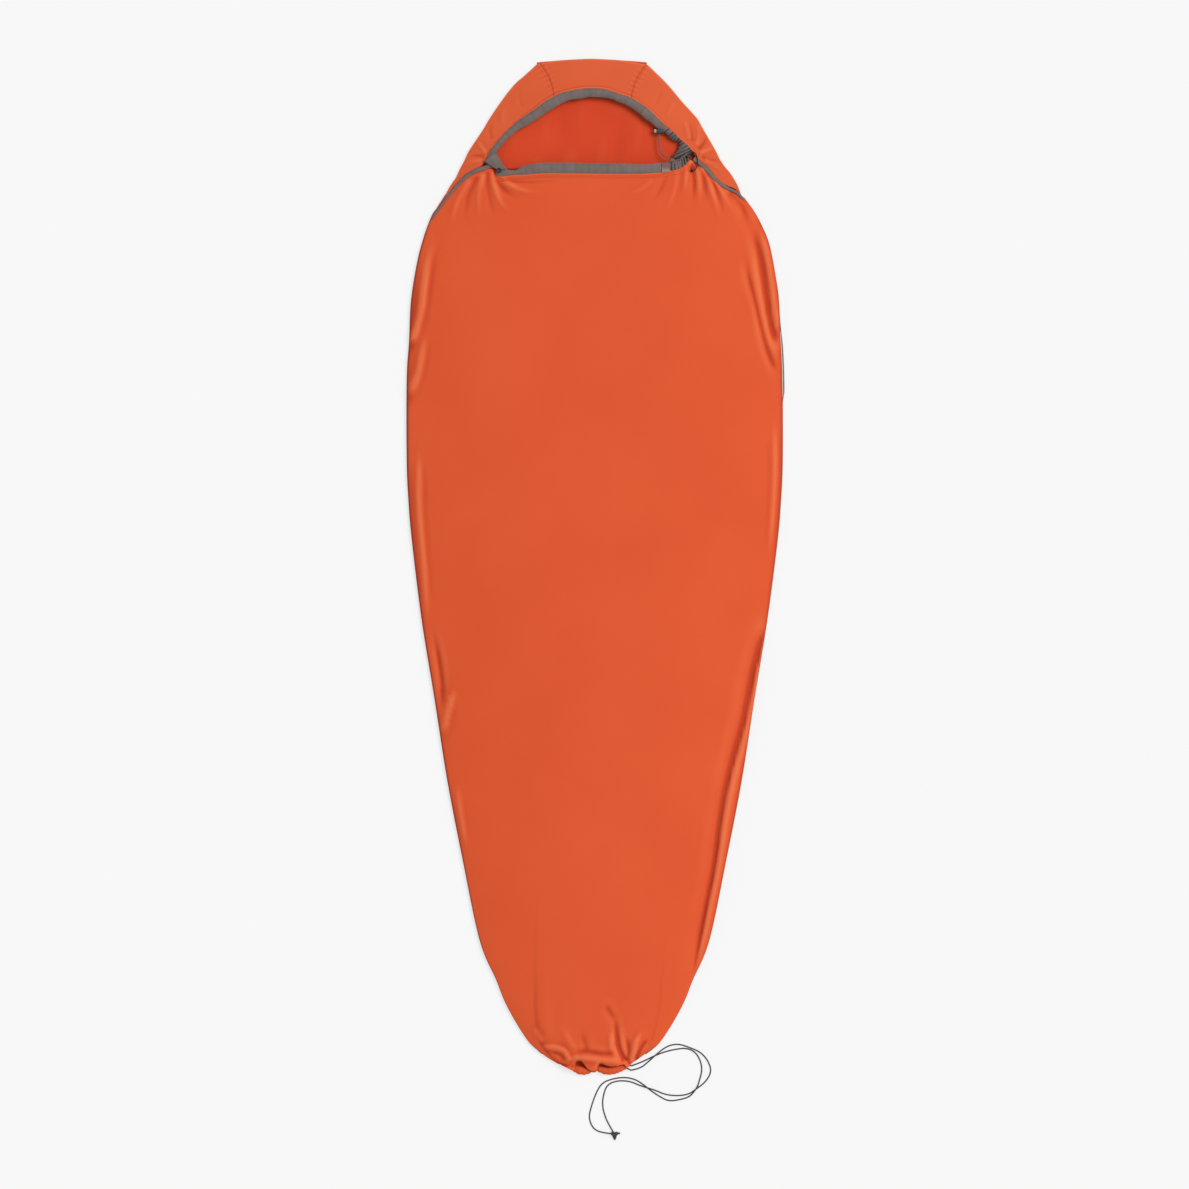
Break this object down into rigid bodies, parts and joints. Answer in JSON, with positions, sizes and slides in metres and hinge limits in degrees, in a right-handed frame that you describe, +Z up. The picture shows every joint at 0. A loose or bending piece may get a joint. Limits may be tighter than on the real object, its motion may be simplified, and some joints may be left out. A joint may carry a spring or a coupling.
{
  "type": "mummy sleeping bag",
  "caption": "Thin single-layer mummy sleeping bag, hooded, with drawcord face opening and throat, cord locks and a foot gathered by a knotted drawcord.",
  "frame": {"origin": "middle of the bag's length and width on the surface that it lies on, without its foot cords", "axes": "+Y to the head, +Z up from the back sheet through the front, +X to the right as seen from above with the head at the top"},
  "size_m": [0.7802, 2.236, 0.0462],
  "materials": {
    "shell_fabric": "matt brushed knit, orange",
    "grey_binding": "matt grey binding tape",
    "woven_label": "bare woven label, pale pinkish",
    "grey_cord": "braided dark grey cord",
    "dark_cord": "thin dark elastic cord",
    "lock_black": "satin black nylon",
    "lock_pale": "satin pale grey nylon",
    "spring_steel": "bright wire"
  },
  "bodies": {
    "bag": {"back_panel": "shell_fabric", "front_panel": "shell_fabric", "hood_left_panel": "shell_fabric", "hood_centre_panel": "shell_fabric", "hood_right_panel": "shell_fabric", "left_side_strip": "grey_binding", "right_side_strip": "grey_binding", "hood_rim_binding": "grey_binding", "neck_binding": "grey_binding", "foot_hem": "shell_fabric", "neck_label": "woven_label", "left_corner_tab": "grey_binding", "left_corner_ring": "grey_cord", "hood_rim_cord": "grey_cord", "hood_pull_cord": "grey_cord", "hood_cord_anchor": "grey_binding", "neck_channel_cord": "dark_cord", "neck_pull_cord": "dark_cord", "neck_cord_knot": "dark_cord", "foot_hem_cord": "grey_cord", "foot_cord_outer": "grey_cord", "foot_cord_inner": "grey_cord", "foot_cord_knot": "grey_cord"},
    "hood_lock": {"hood_lock_barrel": "lock_black", "hood_lock_spring": "spring_steel"},
    "hood_button": {"hood_lock_button": "lock_pale"},
    "neck_lock": {"neck_lock_barrel": "lock_black", "neck_lock_spring": "spring_steel"},
    "neck_button": {"neck_lock_button": "lock_pale"}
  },
  "joints": [
    {"name": "hood_lock_slide", "type": "slide", "parent": "bag", "child": "hood_lock", "axis": [-0.0071, -1, 0], "range_m": [0, 0.018]},
    {"name": "hood_button_press", "type": "slide", "parent": "hood_lock", "child": "hood_button", "axis": [1, -0.0071, 0], "range_m": [0, 0.003], "stiffness_N_per_m": 300, "springref_m": -0.002, "deforming": ["hood_lock_spring"]},
    {"name": "neck_lock_slide", "type": "slide", "parent": "bag", "child": "neck_lock", "axis": [0.6407, 0.766, -0.0515], "range_m": [0, 0.008]},
    {"name": "neck_button_press", "type": "slide", "parent": "neck_lock", "child": "neck_button", "axis": [-0.0515, -0.024, -0.9984], "range_m": [0, 0.0025], "stiffness_N_per_m": 300, "springref_m": -0.002, "deforming": ["neck_lock_spring"]}
  ]
}
